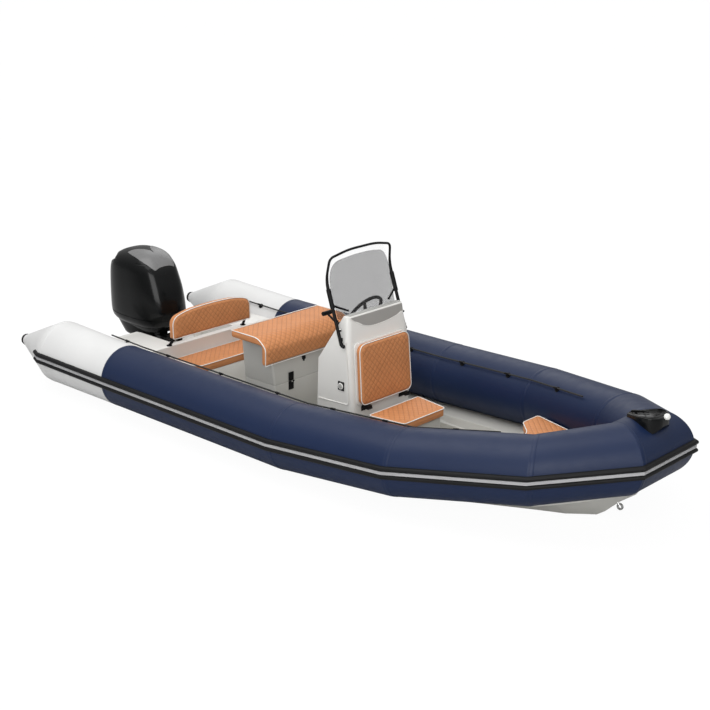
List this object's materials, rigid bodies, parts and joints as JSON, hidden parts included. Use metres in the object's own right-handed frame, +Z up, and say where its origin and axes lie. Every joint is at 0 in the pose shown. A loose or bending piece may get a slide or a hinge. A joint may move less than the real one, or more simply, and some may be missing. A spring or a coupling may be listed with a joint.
{
  "type": "inflatable rib boat",
  "caption": "Rigid inflatable boat: vee hull in an inflatable collar, with a bench, leaning post, console, seats and a tilting outboard motor.",
  "frame": {"origin": "on the waterline, on the centreline, at the aft face of the transom", "axes": "+X forward to the bow, +Y to port, +Z up"},
  "size_m": [5.877, 2.46, 2.239],
  "materials": {
    "gelcoat": "light grey gelcoat",
    "moulding": "off-white moulded GRP",
    "navy_fabric": "satin coated fabric",
    "white_fabric": "satin coated fabric",
    "black_rubber": "matt",
    "grey_rubber": "matt, ribbed",
    "upholstery": "quilted, white piping",
    "black_plastic": "matt",
    "black_metal": "satin black",
    "gloss_black": "gloss",
    "steel": "polished",
    "glass": "smoked acrylic",
    "lens": "translucent",
    "grey_plastic": "satin grey",
    "prop_metal": "black paint"
  },
  "bodies": {
    "boat": {"hull": "gelcoat", "deck": "moulding", "transom": "moulding", "stern_moulding": "moulding", "tube_main": "navy_fabric", "tube_aft_port": "white_fabric", "tube_aft_starboard": "white_fabric", "cone_caps": "black_rubber", "rub_strake": "black_rubber", "strake_insert": "grey_rubber", "bench_cushion": "upholstery", "backrest": "upholstery", "backrest_brackets": "black_metal", "post_base": "moulding", "post_hinges_fixed": "black_plastic", "console": "moulding", "console_cap": "grey_plastic", "hatch_hinges": "black_plastic", "windscreen_hoop": "black_metal", "windscreen_glass": "glass", "hoop_stays": "black_metal", "steering_column": "black_plastic", "throttle": "black_plastic", "console_vent": "black_plastic", "seat_base": "moulding", "seat_cushion": "upholstery", "bow_locker": "moulding", "bow_cushion": "upholstery", "bow_fitting": "gloss_black", "nav_light": "lens", "bow_eye": "steel", "stern_eyes": "steel", "grab_line_port": "black_plastic", "grab_line_starboard": "black_plastic", "line_clips": "black_plastic", "tube_fittings": "black_rubber", "clamp_bracket": "gloss_black"},
    "post_lid": {"post_box": "moulding", "post_cushion": "upholstery", "post_hinges_moving": "black_plastic"},
    "hatch": {"hatch_panel": "moulding", "hatch_cushion": "upholstery"},
    "helm": {"steering_wheel": "black_plastic"},
    "swivel": {"swivel_bracket": "gloss_black"},
    "motor": {"cowl": "gloss_black", "midsection": "gloss_black", "gearcase": "gloss_black"},
    "prop": {"propeller": "prop_metal"}
  },
  "joints": [
    {"name": "motor_tilt", "type": "hinge", "parent": "boat", "child": "swivel", "pos_m": [0.025, 0, 0.285], "axis": [0, 1, 0], "range_deg": [0, 50]},
    {"name": "motor_steer", "type": "hinge", "parent": "swivel", "child": "motor", "pos_m": [-0.105, 0, 0.1], "axis": [0, 0, 1], "range_deg": [-30, 30]},
    {"name": "propeller_spin", "type": "hinge", "parent": "motor", "child": "prop", "pos_m": [-0.52, 0, -0.505], "axis": [1, 0, 0], "continuous": true},
    {"name": "helm_wheel", "type": "hinge", "parent": "boat", "child": "helm", "pos_m": [2.26313, 0.1, 0.94547], "axis": [-0.8462, 0, 0.5329], "range_deg": [-720, 720]},
    {"name": "post_tip", "type": "hinge", "parent": "boat", "child": "post_lid", "pos_m": [1.753, 0, 0.335], "axis": [0, 1, 0], "range_deg": [0, 60]},
    {"name": "hatch_drop", "type": "hinge", "parent": "boat", "child": "hatch", "pos_m": [2.618, 0, 0.335], "axis": [0, 1, 0], "range_deg": [0, 80]}
  ],
  "couplings": [
    {"joint": "helm_wheel", "follows": "motor_steer", "ratio": -24}
  ]
}
